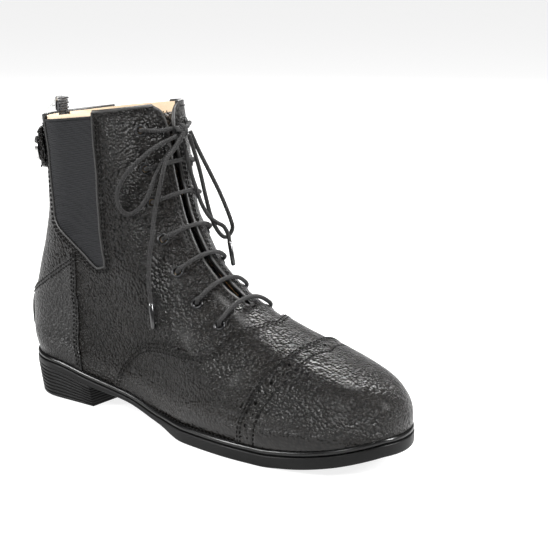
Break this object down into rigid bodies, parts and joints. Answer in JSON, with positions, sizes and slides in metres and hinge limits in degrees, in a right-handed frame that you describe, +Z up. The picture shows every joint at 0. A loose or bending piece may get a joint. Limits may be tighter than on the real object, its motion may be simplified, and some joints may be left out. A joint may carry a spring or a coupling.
{
  "type": "paddock boot",
  "caption": "Laced ankle riding boot for the right foot, with elastic side panels, a zip up the back under a snap strap, a spur rest and a low ribbed heel.",
  "frame": {"origin": "on the floor under the middle of the heel block", "axes": "+X towards the toe, +Y towards the inner (medial) side, +Z up; -Y is the outer side"},
  "size_m": [0.2855, 0.099, 0.1917],
  "materials": {
    "leather": "black pebbled leather with a soft sheen",
    "elastic": "charcoal ribbed elastic",
    "rubber": "satin black rubber",
    "lining": "cream lining leather with fine pinholes",
    "eyelet": "dark metal rings",
    "aglet": "glossy black lace tip",
    "cord": "round black braided lace",
    "zip": "black zip tape with black coil teeth",
    "silver": "bright metal"
  },
  "bodies": {
    "boot": {"aglet_far": "aglet", "aglet_near": "aglet", "counter": "leather", "eyelet_lateral_1": "eyelet", "eyelet_lateral_2": "eyelet", "eyelet_lateral_3": "eyelet", "eyelet_lateral_4": "eyelet", "eyelet_lateral_5": "eyelet", "eyelet_lateral_6": "eyelet", "eyelet_lateral_7": "eyelet", "eyelet_medial_1": "eyelet", "eyelet_medial_2": "eyelet", "eyelet_medial_3": "eyelet", "eyelet_medial_4": "eyelet", "eyelet_medial_5": "eyelet", "eyelet_medial_6": "eyelet", "eyelet_medial_7": "eyelet", "gusset_lateral": "elastic", "gusset_medial": "elastic", "heel": "rubber", "insole": "lining", "lace": "cord", "lace_knot": "cord", "lace_loop_far": "cord", "lace_loop_near": "cord", "lace_tail_far": "cord", "lace_tail_near": "cord", "outsole": "rubber", "snap_button": "silver", "snap_strap": "leather", "spur_rest": "leather", "toe_cap": "leather", "tongue": "leather", "upper": "leather", "vamp": "leather", "welt": "rubber", "zip_slider": "silver", "zip_tape": "zip"},
    "pull": {"zip_pull": "silver"}
  },
  "joints": [
    {"name": "zip_pull_hinge", "type": "hinge", "parent": "boot", "child": "pull", "pos_m": [-0.0206, 0, 0.1873], "axis": [0, 1, 0], "range_deg": [-36, 130]}
  ]
}
